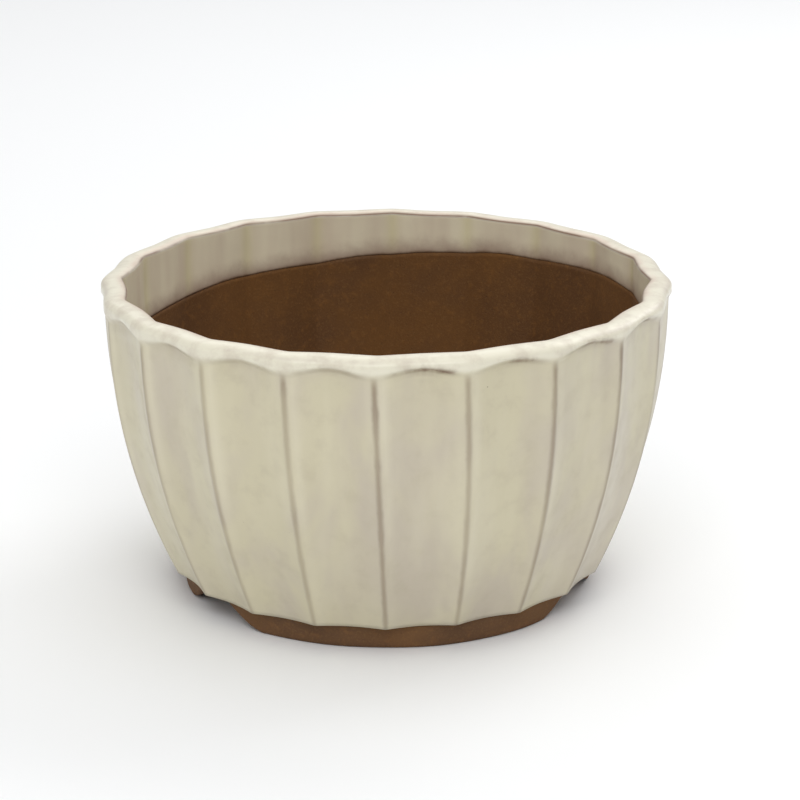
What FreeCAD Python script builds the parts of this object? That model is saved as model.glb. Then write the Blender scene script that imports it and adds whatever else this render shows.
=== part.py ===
"""Round fluted bonsai pot: thrown stoneware body, glaze coat, three luted feet, drain screen and clip.

Frame: millimetres, +Z up, the origin on the table under the middle of the pot.  One arris (the sharp
edge between two flutes) points along +X.
"""
import FreeCAD
import Part
import math
import os
import Sketcher
from FreeCAD import Rotation, Vector

doc = FreeCAD.newDocument("bonsai_pot")

# ---------------------------------------------------------------- driving dimensions
DIMENSIONS = {
    "flute_count": 20,             # concave flutes round the wall
    "rim_top": 95.8,               # crown of the lip above the table
    "widest_level": 90.0,          # height at which the wall is widest
    "widest_radius": 85.9,         # arris radius there, over the glaze
    "base_level": 7.7,             # underside of the body, on top of the feet
    "base_radius": 67.1,           # arris radius at the underside
    "belly_power": 2.1,            # how late the belly turns in towards the base
    "flute_arc": 45.0,             # radius of a flute's hollow in plan
    "glaze_skin": 0.5,             # thickness of the fired glaze
    "wall_thickness": 5.9,         # clay and glaze together, under the lip
    "floor_thickness": 7.0,        # clay floor inside
    "lip_round": 1.8,              # rounding of the rim, outside and inside
    "lip_band": 4.6,               # depth of the thick band under the rim
    "lip_overhang": 1.1,           # how far the band stands out from the arrises
    "lip_flatter": 1.2,            # how much shallower the flutes are on the lip
    "twist_angle": 1.26,           # the arrises lean this much from rim to base, in degrees
    "glaze_line_depth": 18.0,      # middle of the glaze's lower edge inside, below the rim
    "glaze_line_tilt": 4.5,        # slope of that edge, in degrees
    "glaze_line_heading": 212.0,   # side on which it is lowest, in degrees from +X
    "drain_radius": 11.0,
    "wire_hole_radius": 2.5,
    "wire_hole_circle": 38.0,      # radius of the circle of four tie-wire holes
    "wire_hole_count": 4,
    "foot_count": 3,
    "foot_table_radius": 62.9,     # outer radius of a foot on the table
    "foot_top_radius": 63.8,       # outer radius of a foot where it meets the body
    "foot_inner_radius": 53.0,
    "foot_edge_round": 1.0,
    "arch_half_width": 20.0,       # arch-shaped gap between two feet, half its width on the table
    "arch_rise": 8.4,              # height of the arch's crown, just over the feet
    "arch_heading": 97.5,          # direction of the first gap, in degrees from +X
    "screen_cells": 11,            # openings along one side of the drain screen
    "screen_pitch": 3.2,
    "screen_strand": 1.0,          # width of a strand, and thickness of the sheet
    "clip_wire": 1.5,              # diameter of the clip's wire
    "clip_bend": 2.0,              # radius of its bends
    "clip_reach": 21.0,            # how far each end runs out under the floor
}

WALL_RINGS = 8                     # rings that shape the smooth part of the wall
SAME_PLACE = 0.01                  # distance under which two places count as one

sheet = doc.addObject("Spreadsheet::Sheet", "Dims")
for row, (alias, number) in enumerate(DIMENSIONS.items(), start=1):
    sheet.set(f"A{row}", alias)
    sheet.set(f"B{row}", str(number))
    sheet.setAlias(f"B{row}", alias)
doc.recompute()


def dim(alias):
    """Value of a cell of the sheet, in millimetres, degrees or pieces."""
    return float(sheet.get(alias))


# ---------------------------------------------------------------- fluted solids
def arris_radius(height):
    """Radius of the arrises over the glaze at a height: a power curve from base to widest level."""
    fall = abs(dim("widest_level") - height) / (dim("widest_level") - dim("base_level"))
    waist = dim("widest_radius") - dim("base_radius")
    return dim("widest_radius") - waist * fall ** dim("belly_power")


def arris_turn(height):
    """Angle by which the arrises are turned about Z at a height, in degrees."""
    return dim("twist_angle") * (dim("rim_top") - height) / (dim("rim_top") - dim("base_level"))


def fluted_wire(height, inset, flatter=0.0):
    """Closed ring of equal arcs at a height, hollow outwards, that meet in the arrises.

    The ring lies inset inside the glazed wall; flatter makes each flute that much shallower.
    """
    count = int(dim("flute_count"))
    radius = arris_radius(height) - inset
    half_step = math.pi / count
    half_chord = radius * math.sin(half_step)
    arc_radius = dim("flute_arc") + inset
    hollow = arc_radius - math.sqrt(arc_radius ** 2 - half_chord ** 2) - flatter
    middle_radius = radius * math.cos(half_step) - hollow
    turn = math.radians(arris_turn(height))

    def ring_point(distance, angle):
        return Vector(distance * math.cos(angle), distance * math.sin(angle), height)

    edges = []
    for index in range(count):
        start = turn + 2 * half_step * index
        arc = Part.Arc(
            ring_point(radius, start),
            ring_point(middle_radius, start + half_step),
            ring_point(radius, start + 2 * half_step),
        )
        edges.append(arc.toShape())
    return Part.Wire(edges)


def wall_levels(bottom, top, count):
    """Evenly spaced heights from bottom to top."""
    return [bottom + (top - bottom) * index / (count - 1) for index in range(count)]


def rounded_rim(top, inset, outward):
    """Fluted rings of the rim's rounding: a quarter circle in three chords up to the crown."""
    radius = dim("lip_round")
    rings = []
    for share in (0.0, 1 / 3, 2 / 3, 1.0):
        angle = share * math.pi / 2
        step_in = outward * radius * (1 - math.cos(angle))
        height = top - radius + radius * math.sin(angle)
        rings.append(fluted_wire(height, inset + step_in, dim("lip_flatter")))
    return rings


def fluted_block(bottom, top, inset, outward):
    """Solid bounded by the fluted wall: the smooth wall, the lip band and the rounded rim.

    outward is 1 for the outside, where the lip overhangs, and -1 for the hollow.
    """
    band_foot = dim("rim_top") - dim("lip_band")
    wall = [fluted_wire(level, inset) for level in wall_levels(bottom, band_foot, WALL_RINGS)]
    wall_solid = Part.makeLoft(wall, True, False)
    overhang = dim("lip_overhang") if outward > 0 else 0.0
    shoulder = band_foot + dim("lip_overhang")
    rings = [wall[-1], fluted_wire(shoulder, inset - overhang, dim("lip_flatter"))]
    rings += rounded_rim(top, inset - overhang, outward)
    rim_solid = Part.makeLoft(rings, True, True)
    return wall_solid.fuse(rim_solid)


def half_space_above_glaze_line():
    """Large box whose tilted underside is the plane in which the glaze ends inside the pot."""
    size = 4 * dim("widest_radius")
    box = Part.makeBox(size, size, size, Vector(-size / 2, -size / 2, 0))
    heading = math.radians(dim("glaze_line_heading"))
    tilt_axis = Vector(math.sin(heading), -math.cos(heading), 0)
    middle = Vector(0, 0, dim("rim_top") - dim("glaze_line_depth"))
    box.Placement = FreeCAD.Placement(middle, Rotation(tilt_axis, -dim("glaze_line_tilt")))
    return box


skin = dim("glaze_skin")
base_level = dim("base_level")
floor_top = base_level + dim("floor_thickness")
clay_wall = dim("wall_thickness") - skin

clay_block = fluted_block(base_level, dim("rim_top") - skin, skin, 1)
glazed_block = fluted_block(base_level, dim("rim_top"), 0.0, 1)
clay_hollow = fluted_block(floor_top, dim("rim_top") - skin, clay_wall, -1)
glazed_hollow = fluted_block(floor_top, dim("rim_top"), dim("wall_thickness"), -1)
above_line = half_space_above_glaze_line()
clay_core = clay_block.cut(clay_hollow.common(above_line))
glaze_shape = glazed_block.cut(glazed_hollow.common(above_line)).cut(clay_core)

# ---------------------------------------------------------------- vessel: the clay body
clay_bowl = doc.addObject("Part::Feature", "ClayBowl")
clay_bowl.Shape = clay_block.cut(clay_hollow)

drain_drill = doc.addObject("Part::Cylinder", "DrainDrill")
drain_drill.setExpression("Radius", "Dims.drain_radius")
drain_drill.setExpression("Height", "Dims.base_level + Dims.floor_thickness * 2")

wire_drills = []
for index in range(int(dim("wire_hole_count"))):
    drill = doc.addObject("Part::Cylinder", f"WireHoleDrill{index}")
    drill.setExpression("Radius", "Dims.wire_hole_radius")
    drill.setExpression("Height", "Dims.base_level + Dims.floor_thickness * 2")
    heading = f"({index} + 0.5) * 360 / Dims.wire_hole_count"
    drill.setExpression("Placement.Base.x", f"Dims.wire_hole_circle * cos({heading})")
    drill.setExpression("Placement.Base.y", f"Dims.wire_hole_circle * sin({heading})")
    wire_drills.append(drill)

all_drills = doc.addObject("Part::MultiFuse", "AllDrills")
all_drills.Shapes = [drain_drill] + wire_drills
vessel = doc.addObject("Part::Cut", "Vessel")
vessel.Base = clay_bowl
vessel.Tool = all_drills
vessel.Label = "vessel"

# ---------------------------------------------------------------- glaze coat
glaze = doc.addObject("Part::Feature", "GlazeCoat")
glaze.Shape = glaze_shape
glaze.Placement = FreeCAD.Placement()
glaze.Label = "glaze_coat"


# ---------------------------------------------------------------- sketch helpers
LINE_START = 1
LINE_END = 2
CENTRE = 3
ORIGIN = (-1, 1)                   # Sketcher's own name for the origin of a sketch


def origin_feature(body, role):
    """Origin plane or axis of a body, found by its role."""
    for feature in body.Origin.OriginFeatures:
        if feature.Role == role:
            return feature
    raise ValueError(f"{body.Name} has no {role}")


def attached_sketch(body, name, role):
    """New sketch on one of the body's own origin planes."""
    sketch = body.newObject("Sketcher::SketchObject", name)
    sketch.AttachmentSupport = (origin_feature(body, role), [""])
    sketch.MapMode = "FlatFace"
    return sketch


def bind(sketch, kind, places, start_value, expression):
    """Add a dimension to a sketch and bind it to the sheet."""
    number = sketch.addConstraint(Sketcher.Constraint(kind, *places, start_value))
    sketch.setExpression(f"Constraints[{number}]", expression)


def value_of(expression):
    """Present value of an expression made of sheet cells, plain sums and products."""
    return float(sheet.evalExpression(expression.replace("Dims.", "")))


def pinned_polygon(sketch, corners):
    """Closed outline whose corners are pairs of expressions, each measured from the origin."""
    places = [Vector(value_of(across), value_of(up), 0) for across, up in corners]
    count = len(places)
    for index in range(count):
        sketch.addGeometry(Part.LineSegment(places[index], places[(index + 1) % count]))
    for index in range(count):
        following = (index + 1) % count
        sketch.addConstraint(Sketcher.Constraint("Coincident", index, LINE_END, following, LINE_START))
    for index, (across, up) in enumerate(corners):
        corner = (*ORIGIN, index, LINE_START)
        bind(sketch, "DistanceX", corner, places[index].x, across)
        bind(sketch, "DistanceY", corner, places[index].y, up)


def edges_at(shape, height, radius):
    """Names of the edges that lie at one height and one distance from the Z axis."""
    names = []
    for number, edge in enumerate(shape.Edges, start=1):
        middle = edge.valueAt((edge.FirstParameter + edge.LastParameter) / 2)
        off_axis = math.hypot(middle.x, middle.y)
        if abs(middle.z - height) < SAME_PLACE and abs(off_axis - radius) < SAME_PLACE:
            names.append(f"Edge{number}")
    return names


# ---------------------------------------------------------------- feet
def make_foot(name, turns):
    """One foot: a third of a ring, narrower on the table, with half an arch cut from each end."""
    body = doc.addObject("PartDesign::Body", name.title().replace("_", ""))
    body.Label = name
    section = attached_sketch(body, "FootSection", "XZ_Plane")
    pinned_polygon(section, [
        ("Dims.foot_inner_radius", "0"),
        ("Dims.foot_table_radius", "0"),
        ("Dims.foot_top_radius", "Dims.base_level"),
        ("Dims.foot_inner_radius", "Dims.base_level"),
    ])
    ring = body.newObject("PartDesign::Revolution", "FootRing")
    ring.Profile = section
    ring.ReferenceAxis = (section, ["V_Axis"])
    ring.setExpression("Angle", "360 / Dims.foot_count")
    doc.recompute()
    whole = ring.Shape.Volume

    arch = attached_sketch(body, "ArchSection", "YZ_Plane")
    arch_radius = "(Dims.arch_half_width ^ 2 + Dims.arch_rise ^ 2) / (2 * Dims.arch_rise)"
    radius_now = (dim("arch_half_width") ** 2 + dim("arch_rise") ** 2) / (2 * dim("arch_rise"))
    arch_centre = Vector(0, dim("arch_rise") - radius_now, 0)
    arch.addGeometry(Part.Circle(arch_centre, Vector(0, 0, 1), radius_now))
    arch.addConstraint(Sketcher.Constraint("PointOnObject", 0, CENTRE, -2))
    bind(arch, "Radius", (0,), radius_now, arch_radius)
    bind(arch, "DistanceY", (0, CENTRE, *ORIGIN), radius_now - dim("arch_rise"),
         f"{arch_radius} - Dims.arch_rise")
    gap = body.newObject("PartDesign::Pocket", "ArchGap")
    gap.Profile = arch
    gap.setExpression("Length", "Dims.foot_top_radius * 2")
    gap.Reversed = True
    doc.recompute()
    if gap.Shape.Volume >= whole:
        raise RuntimeError("the arch did not cut the foot")

    both_ends = body.newObject("PartDesign::PolarPattern", "ArchAtBothEnds")
    both_ends.Originals = [gap]
    both_ends.Axis = (section, ["V_Axis"])
    both_ends.Mode = 0
    both_ends.setExpression("Angle", "360 / Dims.foot_count")
    both_ends.Occurrences = 2
    body.Tip = both_ends
    doc.recompute()

    edge_round = body.newObject("PartDesign::Fillet", "TableEdgeRound")
    edge_round.Base = (both_ends, edges_at(both_ends.Shape, 0, dim("foot_table_radius")))
    edge_round.setExpression("Radius", "Dims.foot_edge_round")
    body.Tip = edge_round
    body.setExpression("Placement.Rotation.Angle", f"Dims.arch_heading + {turns} * 360 / Dims.foot_count")
    return body


feet = [make_foot(name, turns) for turns, name in enumerate(("foot_left", "foot_front", "foot_right"))]

# ---------------------------------------------------------------- drain screen
screen = doc.addObject("PartDesign::Body", "DrainScreen")
screen.Label = "drain_screen"
half_side = "(Dims.screen_cells * Dims.screen_pitch + Dims.screen_strand) / 2"
outline = attached_sketch(screen, "ScreenOutline", "XY_Plane")
pinned_polygon(outline, [
    (f"-{half_side}", f"-{half_side}"),
    (half_side, f"-{half_side}"),
    (half_side, half_side),
    (f"-{half_side}", half_side),
])
sheet_pad = screen.newObject("PartDesign::Pad", "ScreenSheet")
sheet_pad.Profile = outline
sheet_pad.setExpression("Length", "Dims.screen_strand")
doc.recompute()

cell = attached_sketch(screen, "CellOutline", "XY_Plane")
near_corner = f"(Dims.screen_strand - {half_side})"
far_corner = f"(Dims.screen_pitch - {half_side})"
pinned_polygon(cell, [
    (near_corner, near_corner),
    (far_corner, near_corner),
    (far_corner, far_corner),
    (near_corner, far_corner),
])
cell_cut = screen.newObject("PartDesign::Pocket", "ScreenCell")
cell_cut.Profile = cell
cell_cut.setExpression("Length", "Dims.screen_strand")
cell_cut.Reversed = True
doc.recompute()

grid = screen.newObject("PartDesign::MultiTransform", "ScreenGrid")
grid.Originals = [cell_cut]
rows = []
for axis_name in ("H_Axis", "V_Axis"):
    row_of_cells = screen.newObject("PartDesign::LinearPattern", f"Cells{axis_name[0]}")
    row_of_cells.Direction = (cell, [axis_name])
    row_of_cells.setExpression("Length", "(Dims.screen_cells - 1) * Dims.screen_pitch")
    row_of_cells.setExpression("Occurrences", "Dims.screen_cells")
    rows.append(row_of_cells)
grid.Transformations = rows
screen.Tip = grid
screen.setExpression("Placement.Base.z", "Dims.base_level + Dims.floor_thickness")

# ---------------------------------------------------------------- screen clip
clip = doc.addObject("PartDesign::Body", "ScreenClip")
clip.Label = "screen_clip"
leg_cells = 3                      # each leg goes down through the third cell from the middle
leg = f"{leg_cells} * Dims.screen_pitch"
under_floor = "Dims.base_level - Dims.clip_wire / 2"
over_screen = "Dims.base_level + Dims.floor_thickness + Dims.screen_strand + Dims.clip_wire / 2"


def bent_path(sketch, corners, bend):
    """Open path through corners given as expressions, its inner corners rounded to one radius."""
    places = [Vector(value_of(across), value_of(up), 0) for across, up in corners]
    bend_now = value_of(bend)
    last_run = len(places) - 2
    runs = []
    for index in range(last_run + 1):
        start, end = places[index], places[index + 1]
        along = (end - start).normalize() * bend_now
        trimmed_start = start + along if index > 0 else start
        trimmed_end = end - along if index < last_run else end
        runs.append(sketch.addGeometry(Part.LineSegment(trimmed_start, trimmed_end)))
        upright = abs(along.x) < abs(along.y)
        sketch.addConstraint(Sketcher.Constraint("Vertical" if upright else "Horizontal", runs[-1]))
        kind, cell_text = ("DistanceX", corners[index][0]) if upright else ("DistanceY", corners[index][1])
        level = start.x if upright else start.y
        bind(sketch, kind, (*ORIGIN, runs[-1], LINE_START), level, cell_text)
    bind(sketch, "DistanceX", (*ORIGIN, runs[0], LINE_START), places[0].x, corners[0][0])
    bind(sketch, "DistanceX", (*ORIGIN, runs[-1], LINE_END), places[-1].x, corners[-1][0])
    for index in range(last_run):
        corner = places[index + 1]
        back = (places[index] - corner).normalize() * bend_now
        ahead = (places[index + 2] - corner).normalize() * bend_now
        centre = corner + back + ahead
        middle = centre + (corner - centre).normalize() * bend_now
        arc = sketch.addGeometry(Part.Arc(corner + back, middle, corner + ahead))
        turned_left = back.cross(ahead).z < 0
        arc_start, arc_end = (LINE_START, LINE_END) if turned_left else (LINE_END, LINE_START)
        sketch.addConstraint(Sketcher.Constraint("Tangent", runs[index], LINE_END, arc, arc_start))
        sketch.addConstraint(Sketcher.Constraint("Tangent", arc, arc_end, runs[index + 1], LINE_START))
        bind(sketch, "Radius", (arc,), bend_now, bend)


route = attached_sketch(clip, "ClipRoute", "XZ_Plane")
bent_path(route, [
    ("-Dims.clip_reach", under_floor),
    (f"-{leg}", under_floor),
    (f"-{leg}", over_screen),
    (leg, over_screen),
    (leg, under_floor),
    ("Dims.clip_reach", under_floor),
], "Dims.clip_bend")

wire_section = attached_sketch(clip, "WireSection", "YZ_Plane")
wire_section.setExpression("AttachmentOffset.Base.z", "-Dims.clip_reach")
wire_centre = Vector(0, value_of(under_floor), 0)
wire_section.addGeometry(Part.Circle(wire_centre, Vector(0, 0, 1), dim("clip_wire") / 2))
wire_section.addConstraint(Sketcher.Constraint("PointOnObject", 0, CENTRE, -2))
bind(wire_section, "Radius", (0,), dim("clip_wire") / 2, "Dims.clip_wire / 2")
bind(wire_section, "DistanceY", (*ORIGIN, 0, CENTRE), value_of(under_floor), under_floor)
doc.recompute()

wire = clip.newObject("PartDesign::AdditivePipe", "ClipWire")
wire.Profile = wire_section
wire.Spine = (route, [])

# ---------------------------------------------------------------- checks and files
doc.recompute()
parts = [vessel, glaze] + feet + [screen, clip]

for item in doc.Objects:
    if "Invalid" in item.State or "Error" in item.State:
        raise RuntimeError(f"{item.Name} failed: {item.State}")

os.makedirs("parts", exist_ok=True)
for piece in parts:
    shape = piece.Shape
    if shape.isNull() or not shape.isValid():
        raise RuntimeError(f"{piece.Label} has no valid shape")
    shape.exportStep(f"parts/{piece.Label}.step")
    box = shape.BoundBox
    print(f"{piece.Label}: {len(shape.Solids)} solid, {shape.Volume / 1000:.2f} cm3, "
          f"{box.XLength:.1f} x {box.YLength:.1f} x {box.ZLength:.1f} mm from z {box.ZMin:.1f}")
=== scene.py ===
"""Looks of the round fluted bonsai pot: cream glaze over dark stoneware, on three luted feet.

Lengths are metres.  MM turns millimetres into metres, so that the pot's dimensions read as on a drawing.
Every ring of the pot has the same columns: COLUMNS per flute, closer together at the arrises, which are
the sharp edges between the flutes.
"""
import math

import bmesh
import bpy
import numpy as np
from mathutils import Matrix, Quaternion, Vector


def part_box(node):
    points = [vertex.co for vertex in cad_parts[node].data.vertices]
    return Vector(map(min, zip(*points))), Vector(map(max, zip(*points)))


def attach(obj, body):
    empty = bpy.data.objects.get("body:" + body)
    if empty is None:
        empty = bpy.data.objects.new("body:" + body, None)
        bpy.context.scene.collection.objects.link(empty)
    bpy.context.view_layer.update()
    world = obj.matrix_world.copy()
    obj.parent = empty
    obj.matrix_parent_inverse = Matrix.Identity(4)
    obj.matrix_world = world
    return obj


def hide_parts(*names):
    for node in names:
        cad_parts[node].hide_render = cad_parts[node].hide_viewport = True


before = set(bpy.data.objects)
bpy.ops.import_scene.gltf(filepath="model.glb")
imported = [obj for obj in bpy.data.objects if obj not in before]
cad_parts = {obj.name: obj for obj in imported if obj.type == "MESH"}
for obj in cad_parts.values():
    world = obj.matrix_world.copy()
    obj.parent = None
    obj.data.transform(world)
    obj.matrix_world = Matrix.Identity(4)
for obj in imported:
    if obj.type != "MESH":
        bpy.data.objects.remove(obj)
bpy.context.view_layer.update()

MM = 0.001
RANDOM = np.random.default_rng(20)

# ---------------------------------------------------------------- dimensions of the pot
RIM_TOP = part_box("glaze_coat")[1].z
BASE_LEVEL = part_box("foot_front")[1].z
FLOOR_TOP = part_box("drain_screen")[0].z
FLUTES = 20
WIDEST_LEVEL = 90.0 * MM
CAD_OVERHANG = 1.1 * MM         # how far the lip stands out from the arrises in the CAD model
LIP_OVERHANG = 0.8 * MM         # and here, where it tapers into them
WIDEST_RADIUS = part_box("glaze_coat")[1].x - CAD_OVERHANG
BASE_RADIUS = 67.1 * MM
BELLY_POWER = 2.1               # how late and how fast the wall curves in towards the base
FLUTE_ARC = 45.0 * MM           # radius of a flute's hollow, outside
TWIST = math.radians(1.26)      # how far an arris turns from the rim to the base
WALL = 5.9 * MM
INNER_FLUTE = 1.7 * MM          # depth of the flutes inside
SKIN = 0.45 * MM                # glaze thickness
CLAY_GAP = 0.05 * MM            # hidden clearance between the glaze and the clay under it
LIP_HIGH = 3.9 * MM             # depth of the lip's roll in the middle of a flute
LIP_LOW = 5.2 * MM              # and at an arris
LIP_FLUTE = 1.3 * MM            # depth of the flutes on the lip, outside
CROWN_OUTER = 2.4 * MM          # height of the lip's rounding outside
CROWN_INNER = 1.5 * MM          # and inside
CROWN_OUTER_BOXINESS = 2.0      # 2 is an ellipse, more is squarer
CROWN_INNER_BOXINESS = 2.3
CREST_SHARE = 0.4               # where the lip is highest, from its inside to its outside
GLAZE_LINE_DEPTH = 18.0 * MM    # how far under the rim the glaze ends inside
GLAZE_LINE_SWING = 6.1 * MM     # how much deeper it ends on one side
GLAZE_LINE_HEADING = math.radians(212)      # where that side is
GLAZE_LINE_RISE = 0.8 * MM      # how much higher it ends in the middle of a flute
FLOOR_CORNER = 9.0 * MM         # rounding between the inside wall and the floor
DRAIN_RADIUS = 11.0 * MM
DRAIN_EASE = 0.8 * MM           # rounding of the drain hole's edges
WIRE_HOLE_RADIUS = 2.5 * MM
WIRE_HOLE_EASE = 0.7 * MM
WIRE_HOLE_CIRCLE = 38.0 * MM
FOOT_TABLE_RADIUS = 62.9 * MM
FOOT_TOP_RADIUS = 63.8 * MM
FOOT_INNER_RADIUS = 53.0 * MM
FOOT_ROUNDING = 1.1 * MM
ARCH_HALF_WIDTH = 20.0 * MM
ARCH_RISE = 8.4 * MM
ARCH_HEADING = math.radians(97.5)
ARCH_CLEARANCE = 4.6 * MM       # from an arch's middle to the tips of its feet, round the pot
FEET = ("foot_left", "foot_front", "foot_right")
SCREEN_PITCH = 3.2 * MM         # from one strand of the CAD screen to the next

# ---------------------------------------------------------------- columns round the pot
COLUMNS = 26
HALF_FLUTE = WIDEST_RADIUS * math.sin(math.pi / FLUTES)


def crowd(steps):
    """Steps from -1 to 1, moved closer together towards both ends."""
    return 1.5 * steps - 0.5 * steps ** 3


in_flute = crowd(np.linspace(-1, 1, COLUMNS, endpoint=False))
across = np.tile(in_flute, FLUTES)                 # -1 and 1 on the arrises, 0 mid-flute
flute = np.repeat(np.arange(FLUTES), COLUMNS)
from_arris = 1 - np.abs(across)                    # 0 on an arris, 1 mid-flute
share = (across + 1) / 2
angle = 2 * math.pi * (flute + share) / FLUTES

# The arrises outside were cut by eye: some start a little off their place at the rim, in degrees.
ARRIS_SLIPS = (0.1, -0.2, 0.3, 0.0, -0.3, 0.2, 0.4, -0.1, 0.0, 0.3,
               -0.2, 0.1, 0.0, 0.0, 0.0, -0.75, -1.05, -0.6, 0.0, 0.1)
arris_slip = np.radians(ARRIS_SLIPS)
slip = arris_slip[flute] * (1 - share) + np.roll(arris_slip, -1)[flute] * share


def by_flute(values):
    """One value for each flute, spread to its columns and eased at the arrises."""
    values = np.array(values)
    neighbour = np.where(across > 0, np.roll(values, -1)[flute], np.roll(values, 1)[flute])
    ease = 0.5 * np.clip(np.abs(across), 0, 1) ** 4
    return values[flute] * (1 - ease) + neighbour * ease


def per_flute(low, high):
    """One random value for each flute."""
    return by_flute(RANDOM.uniform(low, high, FLUTES))


def wobble(amplitude, waves, seed):
    """Slow irregular swell round the pot, as hand-made clay has."""
    random = np.random.default_rng(seed)
    total = np.zeros_like(angle)
    for wave in waves:
        total += random.uniform(0.4, 1.0) * np.cos(wave * angle + random.uniform(0, 2 * math.pi))
    return amplitude * total / len(waves)


WALL_ROOM = 0.15 * MM           # keeps the wall's swell inside the CAD model's box
CREST_ROOM = 0.18 * MM          # and the crest's
depth_error = per_flute(0.93, 1.07)
arch_error = per_flute(-0.35, 0.35) * MM
wall_wobble = wobble(0.18 * MM, waves=(2, 3, 5), seed=1) - WALL_ROOM
lip_wobble = wobble(0.22 * MM, waves=(11, 17, 26, 33), seed=7)
crest_dip = CREST_ROOM + wobble(0.18 * MM, waves=(4, 7, 13, 22), seed=9)


def arris_radius(height):
    """Radius of the arrises at a height, as in the CAD model."""
    fall = np.abs(WIDEST_LEVEL - height) / (WIDEST_LEVEL - BASE_LEVEL)
    return WIDEST_RADIUS - (WIDEST_RADIUS - BASE_RADIUS) * fall ** BELLY_POWER


def flute_depth(radius, arc):
    """How far a flute's middle lies inside the circle through its arrises."""
    half_chord = radius * math.sin(math.pi / FLUTES)
    return arc - np.sqrt(arc ** 2 - half_chord ** 2) + radius * (1 - math.cos(math.pi / FLUTES))


def scallop(softness):
    """Shape of a flute across its width: 0 on the arris, 1 mid-flute, the arris rounded by softness."""
    edge = softness / HALF_FLUTE
    eased = np.sqrt(from_arris ** 2 + edge ** 2) - edge
    return 1 - (1 - eased) ** 2


PANEL_SCALLOP = scallop(softness=0.55 * MM)
LIP_SCALLOP = scallop(softness=4.5 * MM)
INNER_SCALLOP = scallop(softness=1.3 * MM)


def smooth_step(value):
    """0 below 0, 1 above 1, smooth between."""
    clipped = np.clip(value, 0, 1)
    return clipped * clipped * (3 - 2 * clipped)


def bell(value, centre, width):
    """1 at the centre and falling to nothing on both sides of it."""
    return np.exp(-((value - centre) / width) ** 2)


hang = 0.5 - 0.5 * np.cos(math.pi * across)        # 0 mid-flute, 1 on the arrises

# The lip's lower edge was smoothed by hand: on most flutes it ends a little off its place, in millimetres.
LIP_RAISES = (0.2, 0.0, 0.4, 0.1, 0.0, 0.3, 0.6, 0.2, 0.0, 0.1,
              0.0, 0.0, 0.0, -0.1, 0.0, 0.1, 0.3, 1.1, 0.8, 0.3)
lip_edge = RIM_TOP - LIP_HIGH - (LIP_LOW - LIP_HIGH) * hang + arch_error + by_flute(LIP_RAISES) * MM

# A second, fainter roll of glaze lies under the lip of some flutes.
LEDGES = (0.3, 0.1, 0.0, 0.4, 0.2, 0.0, 0.5, 0.3, 0.1, 0.4,
          0.8, 1.0, 0.9, 0.6, 0.5, 0.2, 0.3, 0.1, 0.2, 0.4)
ledge_strength = by_flute(LEDGES) * smooth_step(from_arris * 3)
LEDGE_RISE = 0.3 * MM
LEDGE_DROP = 3.8 * MM          # how far under the lip's lower edge it lies
LEDGE_WIDTH = 0.9 * MM
FLUTE_FADE = 0.32              # share by which a flute is shallower just under the lip
FADE_LENGTH = 7.0 * MM


def panel_radius(height):
    """Outside radius of the glazed flutes."""
    radius = arris_radius(height)
    under = np.clip(lip_edge - height, 0, None)
    fade = 1 - FLUTE_FADE * bell(under, 0.0, FADE_LENGTH)
    ledge = LEDGE_RISE * ledge_strength * bell(under, LEDGE_DROP, LEDGE_WIDTH)
    depth = flute_depth(radius, FLUTE_ARC) * PANEL_SCALLOP * depth_error * fade
    return radius - depth + ledge + wall_wobble


def band_radius(height):
    """Outside radius of the lip's roll, which overhangs and has shallower flutes."""
    fluted = arris_radius(height) + LIP_OVERHANG - LIP_FLUTE * LIP_SCALLOP * depth_error
    return fluted + wall_wobble + lip_wobble


def inner_radius(height):
    """Inside radius of the glazed wall, which follows the flutes."""
    return arris_radius(height) - WALL - INNER_FLUTE * INNER_SCALLOP + wall_wobble


glaze_line = (
    RIM_TOP - GLAZE_LINE_DEPTH - GLAZE_LINE_SWING * np.cos(angle - GLAZE_LINE_HEADING)
    + wobble(1.3 * MM, waves=(3, 4, 7, 11), seed=5) + GLAZE_LINE_RISE * INNER_SCALLOP
)


# ---------------------------------------------------------------- rings of the wall
def ring(radius, height, out, up, **marks):
    """One ring of the wall: where it is, which way is out of the glaze, and its painter's marks."""
    level = height + np.zeros_like(angle)
    down = (RIM_TOP - level) / (RIM_TOP - BASE_LEVEL)
    turned = angle + TWIST * down
    if out > 0:
        turned = turned + slip * out * (1 - down)
    return {"radius": radius + np.zeros_like(angle), "height": level, "angle": turned,
            "out": out, "up": up, "marks": marks}


STEP_BELOW = 1.1 * MM          # where the turn out to the lip starts, under the lip's lower edge
STEP_BELOW_ARRIS = 2.0 * MM    # and on an arris, where the lip tapers into it
STEP_ABOVE = 1.2 * MM          # where the turn ends, over that edge
step_below = STEP_BELOW + (STEP_BELOW_ARRIS - STEP_BELOW) * hang


def panel_rings(count):
    """Flutes, from the base to just under the lip."""
    rings = []
    for share_up in np.linspace(0, 1, count, endpoint=False):
        height = BASE_LEVEL + (lip_edge - step_below - BASE_LEVEL) * share_up
        rings.append(ring(panel_radius(height), height, 1, 0, lip=0))
    return rings


def step_rings(count):
    """Rounded turn from the flute out to the lip band."""
    rings = []
    for share_up in np.linspace(0, 1, count, endpoint=False):
        height = lip_edge - step_below + (step_below + STEP_ABOVE) * share_up
        blend = smooth_step(share_up)
        radius = panel_radius(height) * (1 - blend) + band_radius(height) * blend
        rings.append(ring(radius, height, 1, 0, lip=blend * blend))
    return rings


def band_rings(count):
    """Outside face of the lip band, up to where the crown starts to round over."""
    rings = []
    start = lip_edge + STEP_ABOVE
    for share_up in np.linspace(0, 1, count, endpoint=False):
        height = start + (RIM_TOP - CROWN_OUTER - start) * share_up
        rings.append(ring(band_radius(height), height, 1, 0, lip=1))
    return rings


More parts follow.
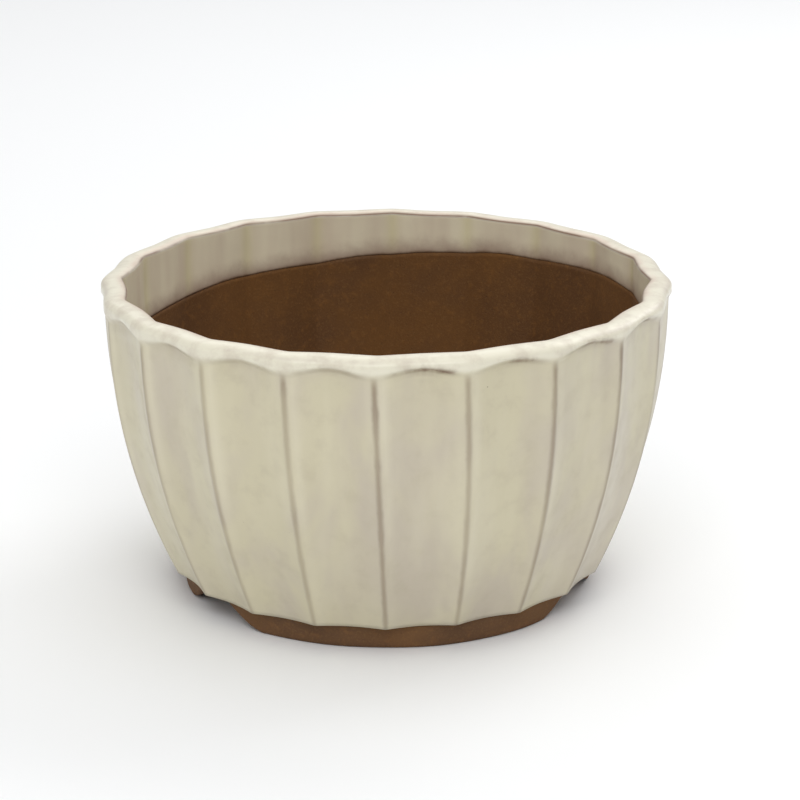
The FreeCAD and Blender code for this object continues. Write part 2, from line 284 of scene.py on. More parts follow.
def crown_rings(count):
    """Top of the lip, from outside to inside: a long slope up to the crest, then a tighter turn down."""
    rings = []
    outer = band_radius(RIM_TOP - CROWN_OUTER)
    inner = inner_radius(RIM_TOP - CROWN_INNER)
    crest = inner + (outer - inner) * CREST_SHARE
    for turn in np.linspace(0, math.pi, count, endpoint=False):
        before_crest = turn < math.pi / 2
        edge = outer if before_crest else inner
        drop = CROWN_OUTER if before_crest else CROWN_INNER
        power = 2 / (CROWN_OUTER_BOXINESS if before_crest else CROWN_INNER_BOXINESS)
        radius = crest + (edge - crest) * abs(math.cos(turn)) ** power
        rise = math.sin(turn) ** power
        height = RIM_TOP - drop * (1 - rise) - crest_dip * rise
        rings.append(ring(radius, height, math.cos(turn), math.sin(turn), lip=1, crown=turn / math.pi))
    return rings


EDGE_THINNING = 0.33 * MM      # how much of the glaze's thickness is gone at its lower edge
EDGE_LENGTH = 0.8 * MM


def inside_rings(count):
    """Glazed band inside the pot, from the crown down to the glaze line."""
    rings = []
    start = RIM_TOP - CROWN_INNER
    for share_down in np.linspace(0, 1, count):
        height = start + (glaze_line - start) * share_down
        thinning = EDGE_THINNING * np.exp(-(height - glaze_line) / EDGE_LENGTH)
        rings.append(ring(inner_radius(height) + thinning, height, -1, 0, lip=0, inside=1, crown=1))
    return rings


def points(rings):
    """Places of all rings as an array of rings, columns and coordinates."""
    rows = []
    for one in rings:
        x = one["radius"] * np.cos(one["angle"])
        y = one["radius"] * np.sin(one["angle"])
        rows.append(np.stack([x, y, one["height"]], axis=1))
    return np.array(rows)


def sunk(rings, depth):
    """The same rings, moved into the wall by a depth."""
    moved = []
    for one in rings:
        copy = dict(one)
        copy["radius"] = one["radius"] - depth * one["out"]
        copy["height"] = one["height"] - depth * one["up"]
        moved.append(copy)
    return moved


# ---------------------------------------------------------------- mesh helpers
def tube_faces(rows, columns):
    """Faces of a grid that closes both round the pot and round its section."""
    row, column = np.meshgrid(np.arange(rows), np.arange(columns), indexing="ij")
    next_row = (row + 1) % rows
    next_column = (column + 1) % columns
    corners = [row * columns + column, row * columns + next_column,
               next_row * columns + next_column, next_row * columns + column]
    return np.stack(corners, axis=-1).reshape(-1, 4).tolist()


def quarter_turn(count):
    """Angles round a quarter circle, without its start."""
    return np.linspace(0, math.pi / 2, count)[1:]


def new_piece(name, places, faces, material, body="root"):
    """Smooth mesh object that rides on a body."""
    mesh = bpy.data.meshes.new(name)
    mesh.from_pydata(places.reshape(-1, 3).tolist(), [], faces)
    mesh.validate()
    mesh.shade_smooth()
    mesh.materials.append(material)
    piece = bpy.data.objects.new(name, mesh)
    bpy.context.scene.collection.objects.link(piece)
    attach(piece, body)
    return piece


def paint_mark(piece, name, values):
    """Store one number per vertex for a material to read."""
    attribute = piece.data.attributes.new(name, "FLOAT", "POINT")
    attribute.data.foreach_set("value", np.ascontiguousarray(values, dtype=np.float32).ravel())


# ---------------------------------------------------------------- material helpers
class Painter:
    """Builds one node material; each method adds a node and returns its output."""

    def __init__(self, name):
        self.material = bpy.data.materials.new(name)
        self.material.use_nodes = True
        self.tree = self.material.node_tree
        self.shader = self.tree.nodes["Principled BSDF"]
        coordinates = self.tree.nodes.new("ShaderNodeTexCoord")
        self.place = coordinates.outputs["Object"]

    def node(self, kind, **settings):
        made = self.tree.nodes.new(kind)
        for key, value in settings.items():
            setattr(made, key, value)
        return made

    def link(self, source, target):
        if isinstance(source, (int, float, tuple)):
            target.default_value = source
        else:
            self.tree.links.new(source, target)

    def mark(self, name):
        return self.node("ShaderNodeAttribute", attribute_name=name).outputs["Fac"]

    def stretched(self, x, y, z):
        mapping = self.node("ShaderNodeMapping")
        self.link(self.place, mapping.inputs["Vector"])
        mapping.inputs["Scale"].default_value = (x, y, z)
        return mapping.outputs["Vector"]

    def noise(self, scale, detail=3.0, rough=0.5, vector=None, distortion=0.0):
        made = self.node("ShaderNodeTexNoise")
        self.link(vector or self.place, made.inputs["Vector"])
        made.inputs["Scale"].default_value = scale
        made.inputs["Detail"].default_value = detail
        made.inputs["Roughness"].default_value = rough
        made.inputs["Distortion"].default_value = distortion
        return made.outputs["Fac"]

    def cells(self, scale):
        made = self.node("ShaderNodeTexVoronoi")
        self.link(self.place, made.inputs["Vector"])
        made.inputs["Scale"].default_value = scale
        return made.outputs["Distance"]

    def math(self, operation, first, second):
        made = self.node("ShaderNodeMath", operation=operation)
        for source, target in zip((first, second), made.inputs):
            self.link(source, target)
        return made.outputs["Value"]

    def times(self, first, second):
        return self.math("MULTIPLY", first, second)

    def remap(self, value, low, high, to_low=0.0, to_high=1.0):
        made = self.node("ShaderNodeMapRange", interpolation_type="SMOOTHSTEP")
        for source, target in zip((value, low, high, to_low, to_high), made.inputs):
            self.link(source, target)
        return made.outputs["Result"]

    def mix(self, amount, first, second):
        made = self.node("ShaderNodeMix", data_type="RGBA")
        self.link(amount, made.inputs["Factor"])
        self.link(first, made.inputs["A"])
        self.link(second, made.inputs["B"])
        return made.outputs["Result"]

    def bump(self, height, distance, strength, normal=None):
        made = self.node("ShaderNodeBump")
        made.inputs["Distance"].default_value = distance
        made.inputs["Strength"].default_value = strength
        self.link(height, made.inputs["Height"])
        if normal is not None:
            self.link(normal, made.inputs["Normal"])
        return made.outputs["Normal"]

    def finish(self, colour, roughness, normal=None):
        self.link(colour, self.shader.inputs["Base Color"])
        self.link(roughness, self.shader.inputs["Roughness"])
        if normal is not None:
            self.link(normal, self.shader.inputs["Normal"])
        return self.material


def srgb(red, green, blue):
    """Linear colour with alpha from screen values of 0 to 255."""
    def linear(value):
        value /= 255
        return value / 12.92 if value <= 0.04045 else ((value + 0.055) / 1.055) ** 2.4
    return (linear(red), linear(green), linear(blue), 1.0)


# ---------------------------------------------------------------- colours
CREAM = srgb(203, 195, 166)
CREAM_GREY = srgb(193, 183, 164)
MOTTLE = srgb(182, 172, 148)
ARRIS_HIGHLIGHT_CREAM = srgb(222, 215, 190)
STREAK = srgb(218, 211, 186)
LIP_WHITE = srgb(228, 223, 203)
LIP_SHADE = srgb(213, 205, 186)
BAND_PALE = srgb(238, 229, 202)
BAND_SHADE = srgb(224, 211, 187)
GROOVE_HIGHLIGHT = srgb(222, 214, 166)
THIN_GLAZE = srgb(168, 146, 130)
EDGE_BROWN = srgb(98, 68, 40)
BREAK_BROWN = srgb(130, 110, 88)
CRESCENT_BREAK_AND_SHADE = srgb(112, 86, 64)
RIDGE_MAUVE = srgb(182, 166, 160)
BLUSH_PINK = srgb(205, 176, 158)
INNER_LINE_BROWN = srgb(122, 92, 70)
SPECK_BROWN = srgb(96, 74, 54)
BODY_CLAY = (srgb(89, 55, 18), srgb(108, 70, 26), srgb(126, 83, 32))       # dark, light, warm
FOOT_CLAY = (srgb(90, 60, 31), srgb(108, 75, 42), srgb(122, 82, 42))
SAND = srgb(142, 104, 58)
PIT = srgb(40, 24, 14)
PLASTIC_BLACK = (0.012, 0.014, 0.013, 1)
PLASTIC_DUST = (0.05, 0.047, 0.042, 1)
WIRE_DARK = srgb(120, 82, 56)
WIRE_LIGHT = srgb(164, 118, 84)
FLOOR_WHITE = srgb(248, 249, 250)


# ---------------------------------------------------------------- materials
def glaze_material():
    """Satin cream glaze: mottled in the flutes, white on the lip, brown where it breaks over edges, with
    painted highlights beside the arrises and in the grooves inside, and painted shade under the lip.
    """
    paint = Painter("cream_glaze")
    slow = paint.noise(42, detail=3, rough=0.55, vector=paint.stretched(1, 1, 0.45), distortion=0.4)
    fine = paint.noise(160, detail=4, rough=0.6)
    streaks = paint.noise(75, detail=3, rough=0.5, vector=paint.stretched(1, 1, 0.16))
    grain = paint.noise(900, detail=2)
    body = paint.mix(paint.remap(slow, 0.36, 0.66), CREAM, CREAM_GREY)
    body = paint.mix(paint.times(paint.remap(fine, 0.45, 0.75), 0.35), body, MOTTLE)
    # Paler glaze with a painted highlight beside the arrises, stronger on one side.
    pale = paint.times(paint.mark("pale"), paint.remap(streaks, 0.3, 0.65, 0.2, 0.6))
    body = paint.mix(pale, body, ARRIS_HIGHLIGHT_CREAM)
    body = paint.mix(paint.times(paint.remap(streaks, 0.45, 0.72), 0.3), body, STREAK)

    lip = paint.mark("lip")
    white = paint.mix(paint.remap(fine, 0.4, 0.7), LIP_WHITE, LIP_SHADE)
    body = paint.mix(lip, body, white)

    inside = paint.mark("inside")
    # Painted highlight along the grooves of the glazed band inside.
    groove_highlight = paint.mark("groove_highlight")
    band = paint.mix(paint.remap(streaks, 0.32, 0.68), BAND_PALE, BAND_SHADE)
    band = paint.mix(paint.times(groove_highlight, 0.5), band, GROOVE_HIGHLIGHT)
    body = paint.mix(inside, body, band)

    edge = paint.mark("edge_mm")
    thin_edge = paint.remap(paint.math("ADD", edge, paint.times(fine, 5.0)), 2.0, 9.5, 1.0, 0.0)
    body = paint.mix(paint.times(thin_edge, 0.85), body, THIN_GLAZE)

    fading = paint.remap(paint.math("ADD", edge, paint.times(fine, 1.6)), 0.5, 2.0, 0.85, 0.0)
    body = paint.mix(fading, body, EDGE_BROWN)

    arris = paint.mark("arris_mm")
    ragged = paint.math("ADD", arris, paint.times(paint.math("SUBTRACT", fine, 0.5), 1.2))
    break_line = paint.remap(ragged, 0.1, 1.5, 1.0, 0.0)
    break_line = paint.times(break_line, paint.mark("break"))
    break_line = paint.times(break_line, paint.remap(slow, 0.3, 0.6, 0.6, 1.0))
    body = paint.mix(break_line, body, BREAK_BROWN)

    # Glaze break and painted shade under the lip's lower edge.
    crescent_break_and_shade = paint.times(paint.mark("crescent_break_and_shade"), paint.remap(fine, 0.36, 0.6, 0.4, 0.95))
    body = paint.mix(crescent_break_and_shade, body, CRESCENT_BREAK_AND_SHADE)
    ridge = paint.times(paint.mark("ridge"), paint.remap(slow, 0.42, 0.62, 0.0, 0.35))
    body = paint.mix(ridge, body, RIDGE_MAUVE)
    blush = paint.times(paint.mark("blush"), paint.remap(streaks, 0.3, 0.7, 0.2, 0.6))
    body = paint.mix(blush, body, BLUSH_PINK)
    inner_line = paint.times(paint.mark("inner_line"), paint.remap(slow, 0.3, 0.55, 0.5, 1.0))
    body = paint.mix(inner_line, body, INNER_LINE_BROWN)

    speck = paint.remap(paint.cells(110), 0.0, 0.035, 1.0, 0.0)
    speck = paint.times(speck, paint.remap(paint.noise(60, detail=1), 0.6, 0.66))
    body = paint.mix(paint.times(speck, 0.8), body, SPECK_BROWN)

    ripple = paint.bump(paint.noise(170, detail=2, rough=0.4), 0.25 * MM, 0.5)
    skin = paint.bump(grain, 0.04 * MM, 0.5, ripple)
    paint.shader.inputs["Coat Weight"].default_value = 0.25
    paint.shader.inputs["Coat Roughness"].default_value = 0.18
    roughness = paint.remap(fine, 0.3, 0.7, 0.34, 0.46)
    return paint.finish(body, roughness, skin)


def clay_material(name, dark, light, warm):
    """Unglazed brown stoneware: sandy grain, cloudy firing marks and fine pits."""
    paint = Painter(name)
    cloud = paint.noise(30, detail=4, rough=0.6)
    sand = paint.noise(1500, detail=3, rough=0.7)
    coarse = paint.noise(420, detail=3, rough=0.65)
    colour = paint.mix(paint.remap(cloud, 0.3, 0.7), dark, light)
    colour = paint.mix(paint.times(paint.remap(coarse, 0.5, 0.75), 0.5), colour, warm)
    colour = paint.mix(paint.times(paint.remap(sand, 0.5, 0.72), 0.3), colour, SAND)
    pits = paint.remap(paint.cells(700), 0.0, 0.22, 0.0, 1.0)
    in_pit = paint.math("SUBTRACT", 1.0, pits)
    colour = paint.mix(paint.times(in_pit, 0.35), colour, PIT)
    height = paint.math("ADD", paint.times(sand, 0.6), paint.times(coarse, 0.7))
    normal = paint.bump(height, 0.22 * MM, 0.8)
    normal = paint.bump(pits, 0.12 * MM, 0.5, normal)
    roughness = paint.remap(cloud, 0.3, 0.7, 0.72, 0.88)
    return paint.finish(colour, roughness, normal)


def screen_material():
    """Matt black polyethylene with slight dust."""
    paint = Painter("screen_plastic")
    dust = paint.noise(500, detail=3, rough=0.6)
    colour = paint.mix(paint.remap(dust, 0.45, 0.75), PLASTIC_BLACK, PLASTIC_DUST)
    normal = paint.bump(paint.noise(2500, detail=2), 0.03 * MM, 0.6)
    roughness = paint.remap(dust, 0.3, 0.7, 0.45, 0.62)
    return paint.finish(colour, roughness, normal)


def wire_material():
    """Copper-brown anodised aluminium wire with drawing marks."""
    paint = Painter("clip_wire")
    drawn = paint.noise(900, detail=2, vector=paint.stretched(0.15, 1, 1))
    colour = paint.mix(paint.remap(drawn, 0.35, 0.7), WIRE_DARK, WIRE_LIGHT)
    paint.shader.inputs["Metallic"].default_value = 1.0
    roughness = paint.remap(drawn, 0.3, 0.7, 0.3, 0.45)
    return paint.finish(colour, roughness, paint.bump(drawn, 0.02 * MM, 0.5))


cream_glaze = glaze_material()
bare_clay = clay_material("bare_clay", *BODY_CLAY)
foot_clay = clay_material("foot_clay", *FOOT_CLAY)

# ---------------------------------------------------------------- glaze coat
# The face is the glaze's outside, from the base over the lip to its edge inside.  The side on the clay is
# hidden, so every fourth ring is enough there.
face = panel_rings(64) + step_rings(13) + band_rings(6) + crown_rings(22) + inside_rings(26)
glaze_rings = face + sunk(face[-1:], SKIN) + sunk(face[::4], SKIN)[::-1]
glaze = new_piece("glaze", points(glaze_rings), tube_faces(len(glaze_rings), len(angle)), cream_glaze)
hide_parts("glaze_coat")


def mark_rows(read):
    """One number per vertex of the glaze from a function of a ring."""
    return np.array([read(one) + np.zeros_like(angle) for one in glaze_rings])


def under_lip(one):
    """Height of a ring below the lip band's lower edge, in millimetres."""
    return (lip_edge - one["height"]) / MM


def above_edge(one):
    """Height of a ring over the glaze's lower edge inside, in millimetres, and far from it elsewhere."""
    far = 99.0
    return (one["height"] - glaze_line) / MM if one["marks"].get("inside") else far


def outside_only(mark):
    """The same mark, left out inside the pot."""
    return lambda one: 0.0 if one["marks"].get("inside") else mark(one)


# How strongly the glaze breaks under the lip of each flute, with painted shade there.
CRESCENTS = (0.3, 0.6, 0.1, 0.4, 0.7, 0.2, 0.5, 0.1, 0.3, 0.5,
             0.3, 0.35, 0.3, 0.15, 0.3, 1.0, 0.8, 1.0, 0.9, 0.4)
crescent_strength = by_flute(CRESCENTS)
break_strength = per_flute(0.55, 1.0)
arris_mm = from_arris * (HALF_FLUTE / MM)          # distance from the nearest arris


def crescent_break_and_shade_mark(one):
    """Brown line under the lower edge of the lip band: a glaze break and painted shade under the overhang,
    stronger on one side.
    """
    line_drop, line_width = 0.1, 0.95          # millimetres
    line = bell(under_lip(one), line_drop, line_width)
    one_side = 0.3 + 0.7 * smooth_step((across + 0.5) / 0.7)
    return line * crescent_strength * one_side * smooth_step(from_arris * 2.2 - 0.1)


def break_mark(one):
    """Strength of the brown break on an arris: none on the lip, most a little below it, then less."""
    start, rise, strong_length = -0.6, 4.0, 14.0       # millimetres under the lip's lower edge
    under = under_lip(one)
    lasting = 0.75 + 0.25 * bell(under, 0.0, strong_length)
    return smooth_step((under - start) / rise) * lasting * break_strength


def arris_highlight_mark(one):
    """Paler glaze and painted highlight beside an arris, more on one side than the other, and less low down.
    """
    distance, width, wall_height = 2.4, 1.6, 80.0      # millimetres
    strip = bell(arris_mm, distance, width) * np.where(across < 0, 1.0, 0.35)
    return strip * (1 - 0.5 * smooth_step(under_lip(one) / wall_height))


def crown_mark(place, width):
    """Mark along the crown at a share of the way from its outside to its inside."""
    return lambda one: bell(one["marks"].get("crown", 0), place, width)


GLAZE_MARKS = {
    "lip": lambda one: one["marks"].get("lip", 0),
    "inside": lambda one: one["marks"].get("inside", 0),
    # Painted highlight along the grooves inside.
    "groove_highlight": lambda one: bell(from_arris, 0.0, 0.16),
    "arris_mm": lambda one: arris_mm,
    "edge_mm": above_edge,
    "crescent_break_and_shade": outside_only(crescent_break_and_shade_mark),
    "break": outside_only(break_mark),
    "pale": outside_only(arris_highlight_mark),
    "ridge": crown_mark(0.2, 0.07),
    "blush": crown_mark(0.7, 0.14),
    "inner_line": crown_mark(0.86, 0.09),
}
for mark_name, read_mark in GLAZE_MARKS.items():
    paint_mark(glaze, mark_name, mark_rows(read_mark))


# ---------------------------------------------------------------- clay body
def plain_ring(radius, height):
    """Ring of the clay alone."""
    return ring(radius, height, 0, 0)


def clay_rings():
    """Section of the body: hidden outside, over the lip, down the bare wall, floor, drain hole, base."""
    clay_inset = SKIN + CLAY_GAP
    hidden = sunk(face[::5] + face[-1:], clay_inset)
    rings = list(hidden)

    seam = 0.03 * MM               # the bare wall starts this much below and behind the glaze's edge
    seam_fade = 3.0 * MM
    edge_height = glaze_line - seam
    edge_inset = EDGE_THINNING + seam
    wall_foot = FLOOR_TOP + FLOOR_CORNER
    for share_down in np.linspace(0, 1, 46):
        height = edge_height + (wall_foot - edge_height) * share_down
        inset = clay_inset - (clay_inset - edge_inset) * np.exp(-(edge_height - height) / seam_fade)
        rings.append(plain_ring(inner_radius(height) + inset, height))

    foot_radius = inner_radius(wall_foot) + clay_inset
    for turn in quarter_turn(12):
        radius = foot_radius - FLOOR_CORNER * (1 - math.cos(turn))
        rings.append(plain_ring(radius, wall_foot - FLOOR_CORNER * math.sin(turn)))
    floor_edge = foot_radius - FLOOR_CORNER
    drain_rim = DRAIN_RADIUS + DRAIN_EASE
    for share_in in np.linspace(0, 1, 22)[1:]:
        rings.append(plain_ring(floor_edge + (drain_rim - floor_edge) * share_in, FLOOR_TOP))

    for turn in quarter_turn(5):
        radius = drain_rim - DRAIN_EASE * math.sin(turn)
        rings.append(plain_ring(radius, FLOOR_TOP - DRAIN_EASE * (1 - math.cos(turn))))
    for height in np.linspace(FLOOR_TOP - DRAIN_EASE, BASE_LEVEL + DRAIN_EASE, 7)[1:]:
        rings.append(plain_ring(DRAIN_RADIUS, height))
    for turn in quarter_turn(5):
        radius = drain_rim - DRAIN_EASE * math.cos(turn)
        rings.append(plain_ring(radius, BASE_LEVEL + DRAIN_EASE * (1 - math.sin(turn))))

    base_edge = hidden[0]["radius"]
    for share_out in np.linspace(0, 1, 20)[1:-1]:
        rings.append(plain_ring(drain_rim + (base_edge - drain_rim) * share_out, BASE_LEVEL))
    return rings


def wire_hole_cutter(heading):
    """Closed spindle that bores one tie-wire hole with eased edges."""
    flared = WIRE_HOLE_RADIUS + 2 * WIRE_HOLE_EASE
    profile = [
        (flared, BASE_LEVEL - WIRE_HOLE_EASE),
        (WIRE_HOLE_RADIUS, BASE_LEVEL + WIRE_HOLE_EASE),
        (WIRE_HOLE_RADIUS, FLOOR_TOP - WIRE_HOLE_EASE),
        (flared, FLOOR_TOP + WIRE_HOLE_EASE),
    ]
    cutter = bmesh.new()
    sides = 40
    x = WIRE_HOLE_CIRCLE * math.cos(heading)
    y = WIRE_HOLE_CIRCLE * math.sin(heading)
    rows = []
    for radius, height in profile:
        row = []
        for side in range(sides):
            turn = 2 * math.pi * side / sides
            row.append(cutter.verts.new((x + radius * math.cos(turn), y + radius * math.sin(turn), height)))
        rows.append(row)
    for low, high in zip(rows, rows[1:]):
        for side in range(sides):
            following = (side + 1) % sides
            cutter.faces.new((low[side], low[following], high[following], high[side]))
    cutter.faces.new(rows[0][::-1])
    cutter.faces.new(rows[-1])
    mesh = bpy.data.meshes.new("cutter")
    cutter.to_mesh(mesh)
    cutter.free()
    return bpy.data.objects.new("cutter", mesh)


def bore(piece, cutter):
    """Cut one solid out of a piece and keep the result in the piece's mesh."""
    bpy.context.scene.collection.objects.link(cutter)
    cut = piece.modifiers.new("bore", "BOOLEAN")
    cut.operation = "DIFFERENCE"
    cut.solver = "EXACT"
    cut.object = cutter
    depsgraph = bpy.context.evaluated_depsgraph_get()
    result = bpy.data.meshes.new_from_object(piece.evaluated_get(depsgraph), depsgraph=depsgraph)
    piece.modifiers.remove(cut)
    bpy.data.objects.remove(cutter)
    piece.data = result


body_rings = clay_rings()
clay_body = new_piece("clay_body", points(body_rings), tube_faces(len(body_rings), len(angle)), bare_clay)
for quarter in range(4):
    bore(clay_body, wire_hole_cutter((quarter + 0.5) * math.pi / 2))
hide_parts("vessel")


# ---------------------------------------------------------------- feet
def arch_height(radius, offset_angle):
    """Height of the arch over the table, at a radius and an angle away from the arch's middle."""
    sideways = np.abs(radius * np.sin(offset_angle)) / ARCH_HALF_WIDTH
    return ARCH_RISE * (0.5 + 0.5 * np.cos(math.pi * np.clip(sideways, 0, 1))) ** 0.9


def foot_section(heading, arch_start, arch_end, phase):
    """Points round the section of a foot at one heading, from its outer top edge round by the table."""
    ripple = 0.25 * MM * math.sin(5 * heading + phase) + 0.12 * MM * math.sin(13 * heading)
    lean = (FOOT_TOP_RADIUS - FOOT_TABLE_RADIUS) / BASE_LEVEL
    outline = []

    def lowest(radius):
        nearest = min(abs(heading - arch_start), abs(heading - arch_end))
        return float(arch_height(radius, nearest))

    def outer(height):
        return FOOT_TABLE_RADIUS + lean * height + ripple

    def add(radius, height):
        outline.append((radius, min(max(height, 0.0), BASE_LEVEL)))

    low_outside = lowest(FOOT_TABLE_RADIUS)
    low_inside = lowest(FOOT_INNER_RADIUS)
    for share_down in np.linspace(0, 1, 9):
        height = BASE_LEVEL + (low_outside + FOOT_ROUNDING - BASE_LEVEL) * share_down
        add(outer(height), height)
    for turn in quarter_turn(6):
        radius = outer(low_outside) - FOOT_ROUNDING * (1 - math.cos(turn))
        add(radius, low_outside + FOOT_ROUNDING * (1 - math.sin(turn)))
    for share_in in np.linspace(0, 1, 8)[1:-1]:
        width = FOOT_INNER_RADIUS - FOOT_TABLE_RADIUS + 2 * FOOT_ROUNDING
        radius = FOOT_TABLE_RADIUS - FOOT_ROUNDING + share_in * width
        add(radius, lowest(radius))
    for turn in quarter_turn(6):
        radius = FOOT_INNER_RADIUS + FOOT_ROUNDING * (1 - math.sin(turn))
        add(radius, low_inside + FOOT_ROUNDING * (1 - math.cos(turn)))
    for share_up in np.linspace(0, 1, 6)[1:]:
        height = low_inside + FOOT_ROUNDING + (BASE_LEVEL - low_inside - FOOT_ROUNDING) * share_up
        add(FOOT_INNER_RADIUS, height)
    return outline


def make_foot(name, turns):
    """One foot between two arches: a soft-edged roll of clay that thins to nothing in the arches."""
    third = 2 * math.pi / len(FEET)
    arch_start = ARCH_HEADING + turns * third
    arch_end = arch_start + third
    middle = (arch_start + arch_end) / 2
    half = third / 2 - ARCH_CLEARANCE / FOOT_TABLE_RADIUS
    rows = []
    for share_round in crowd(np.linspace(-1, 1, 120)):
        heading = middle + half * share_round
        outline = foot_section(heading, arch_start, arch_end, phase=turns)
        rows.append([(r * math.cos(heading), r * math.sin(heading), z) for r, z in outline])
    places = np.array(rows)
    count, size = places.shape[:2]
    faces = []
    for row in range(count - 1):
        for index in range(size):
            following = (index + 1) % size
            faces.append([row * size + index, (row + 1) * size + index,
                          (row + 1) * size + following, row * size + following])
    faces.append(list(range(size)))
    faces.append([(count - 1) * size + index for index in reversed(range(size))])
    foot = new_piece(name.replace("foot", "luted_foot"), places, faces, foot_clay)
    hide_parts(name)


for turns, name in enumerate(FEET):
    make_foot(name, turns)


# ---------------------------------------------------------------- drain screen and clip
def tube_along(path, radius, sides, flatten=1.0):
    """Places and faces of a capped tube along a list of points; flatten squeezes it in height."""
    places, faces = [], []
    count = len(path)
    for index, here in enumerate(path):
        before = path[max(index - 1, 0)]
        after = path[min(index + 1, count - 1)]
        along = (after - before).normalized()
        side = along.cross(Vector((0, 0, 1))) if abs(along.z) < 0.9 else along.cross(Vector((0, 1, 0)))
        side.normalize()
        upward = side.cross(along)
        for step in range(sides):
            turn = 2 * math.pi * step / sides
            places.append(here + side * radius * math.cos(turn) + upward * radius * flatten * math.sin(turn))
    for index in range(count - 1):
        for step in range(sides):
            following = (step + 1) % sides
            faces.append([index * sides + step, index * sides + following,
                          (index + 1) * sides + following, (index + 1) * sides + step])
    faces.append(list(range(sides))[::-1])
    faces.append([(count - 1) * sides + step for step in range(sides)])
    return places, faces


def gather(tubes):
    """Join several tubes into one array of places and one list of faces."""
    places, faces = [], []
    for places_of_tube, faces_of_tube in tubes:
        offset = len(places)
        places += places_of_tube
        faces += [[offset + index for index in face] for face in faces_of_tube]
    return np.array([tuple(place) for place in places]), faces


def make_screen():
    """Extruded mesh: two layers of rounded strands that melt into each other where they cross."""
    low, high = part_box("drain_screen")
    cells = 11
    edge = 0.5 * MM                # from the screen's edge to the middle of its outermost strand
    strand_radius = 0.45 * MM
    bow = 0.12 * MM
    layer_offset = 0.12 * MM
    level = (low.z + high.z) / 2
    start = low.x + edge
    end = high.x - edge
    tubes = []
    for index in range(cells + 1):
        offset = start + (end - start) * index / cells
        for layer in (-1, 1):
            path = []
            for share_along in np.linspace(0, 1, 3 * cells + 1):
                along = start - edge + (end - start + 2 * edge) * share_along
                height = level + layer * layer_offset
                sway = bow * math.sin(3 * share_along * math.pi + index)
                place = (along, offset + sway, height) if layer < 0 else (offset + sway, along, height)
                path.append(Vector(place))
            tubes.append(tube_along(path, strand_radius, 8, 0.8))
    places, faces = gather(tubes)
    screen = new_piece("mesh_screen", places, faces, screen_material())
    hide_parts("drain_screen")


def make_clip():
    """Bent wire: a bar over the screen, two legs down through it, and ends turned out under the floor."""
    low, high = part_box("screen_clip")
    radius = (high.y - low.y) / 2
    bend = 2.0 * MM
    short = 0.3 * MM               # how much shorter than in the CAD model each end is
    leg = 3 * SCREEN_PITCH
    bottom, top = low.z + radius, high.z - radius
    corners = [
        Vector((low.x + short, 0, bottom)),
        Vector((-leg, 0, bottom)),
        Vector((-leg, 0, top)),
        Vector((leg, 0, top)),
        Vector((leg, 0, bottom)),
        Vector((high.x - short, 0, bottom)),
    ]
    path = [corners[0], corners[0] + Vector((0.4 * MM, 0, 0))]
    for before, corner, after in zip(corners, corners[1:], corners[2:]):
        back_way = (before - corner).normalized() * bend
        ahead_way = (after - corner).normalized() * bend
        centre = corner + back_way + ahead_way
        for turn in np.linspace(0, math.pi / 2, 9):
            path.append(centre - ahead_way * math.cos(turn) - back_way * math.sin(turn))
    path.append(corners[-1])
    places, faces = gather([tube_along(path, radius * 0.98, 16)])
    clip = new_piece("wire_clip", places, faces, wire_material())
    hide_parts("screen_clip")


make_screen()
make_clip()


# ---------------------------------------------------------------- floor, light and camera
def make_floor():
    """Plain pale table, large enough to fill the view."""
    size = 4.0
    corners = [(-size, -size, 0), (size, -size, 0), (size, size, 0), (-size, size, 0)]
    mesh = bpy.data.meshes.new("floor")
    mesh.from_pydata(corners, [], [(0, 1, 2, 3)])
    paint = Painter("pale_floor")
    paint.finish(FLOOR_WHITE, 0.9)
    mesh.materials.append(paint.material)
    floor = bpy.data.objects.new("floor", mesh)
    bpy.context.scene.collection.objects.link(floor)


# Soft white lamps: name, place, target, width and height, watts.
LAMPS = (
    ("left_window", (-0.9, -0.3, 0.27), (0, 0, 0.05), (0.9, 0.34), 0.55),
    ("right_window", (0.6, 0.55, 0.75), (0, 0, 0.05), (0.6, 0.6), 2.4),
    ("back_wash", (0.1, 1.2, 1.0), (0, 0.2, 0.0), (1.6, 0.8), 4.6),
    ("front_fill", (0.0, -1.0, 1.0), (0, 0, 0.05), (1.0, 0.6), 6.0),
    ("overhead", (0.0, -0.1, 1.5), (0, -0.05, 0), (1.4, 1.4), 5.6),
)


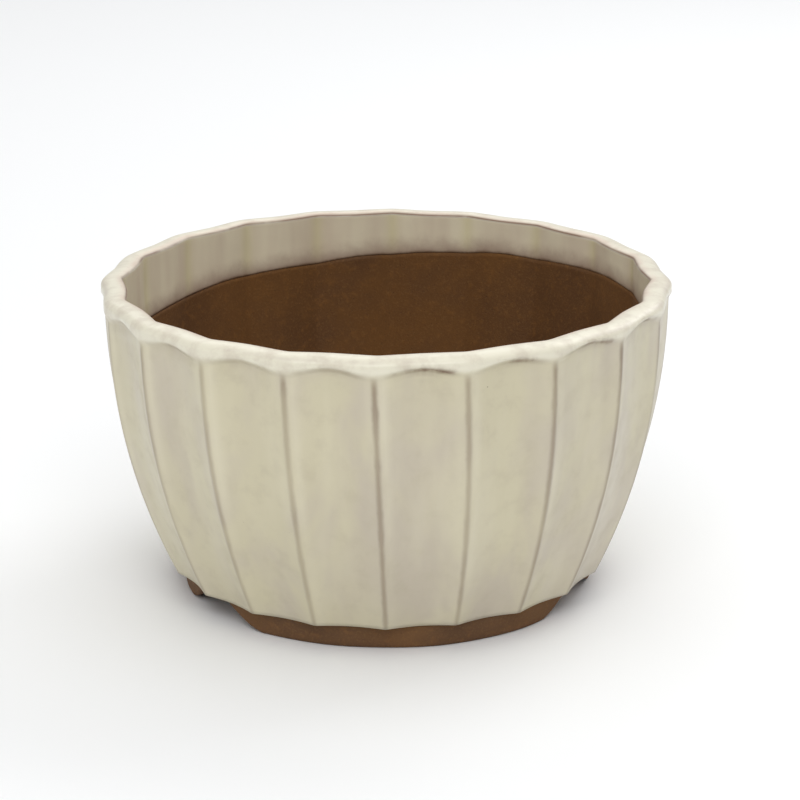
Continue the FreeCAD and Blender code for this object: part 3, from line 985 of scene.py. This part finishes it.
def make_light(name, place, target, size, power):
    """Soft rectangular lamp at a place, turned to a target."""
    lamp = bpy.data.lights.new(name, "AREA")
    lamp.shape = "RECTANGLE"
    lamp.size, lamp.size_y = size
    lamp.energy = power
    item = bpy.data.objects.new(name, lamp)
    item.location = place
    item.rotation_euler = (Vector(target) - Vector(place)).to_track_quat("-Z", "Y").to_euler()
    bpy.context.scene.collection.objects.link(item)


CAMERA_ELEVATION = math.radians(15.64)
CAMERA_AZIMUTH = math.radians(1.73)    # to the right of straight in front
CAMERA_ROLL = math.radians(-0.21)
CAMERA_DISTANCE = 911.7 * MM           # from the centre of the rim
RIM_CENTRE = Vector((0, 0, 94.6 * MM))
AIM_SIDEWAYS = 4.2 * MM
AIM_HEIGHT = 56.3 * MM
SENSOR_WIDTH = 36
FOCAL_LENGTH = 135.16


def make_camera():
    """Long lens, a little above the rim, aimed a little over the middle of the pot."""
    sideways = Vector((math.cos(CAMERA_AZIMUTH), math.sin(CAMERA_AZIMUTH), 0))
    outward = Vector((math.sin(CAMERA_AZIMUTH) * math.cos(CAMERA_ELEVATION),
                      -math.cos(CAMERA_AZIMUTH) * math.cos(CAMERA_ELEVATION),
                      math.sin(CAMERA_ELEVATION)))
    aim = sideways * AIM_SIDEWAYS + Vector((0, 0, AIM_HEIGHT))
    data = bpy.data.cameras.new("camera")
    data.sensor_width = SENSOR_WIDTH
    data.lens = FOCAL_LENGTH
    camera = bpy.data.objects.new("camera", data)
    camera.location = RIM_CENTRE + outward * CAMERA_DISTANCE
    camera.rotation_mode = "QUATERNION"
    roll = Quaternion((0, 0, 1), CAMERA_ROLL)
    camera.rotation_quaternion = (aim - camera.location).to_track_quat("-Z", "Y") @ roll
    bpy.context.scene.collection.objects.link(camera)
    bpy.context.scene.camera = camera


make_floor()
for lamp_settings in LAMPS:
    make_light(*lamp_settings)
make_camera()

world = bpy.data.worlds.new("studio")
world.use_nodes = True
sky = world.node_tree.nodes["Background"]
sky.inputs["Color"].default_value = (1, 1, 1, 1)
sky.inputs["Strength"].default_value = 0.49
bpy.context.scene.world = world
bpy.context.scene.view_settings.view_transform = "Standard"
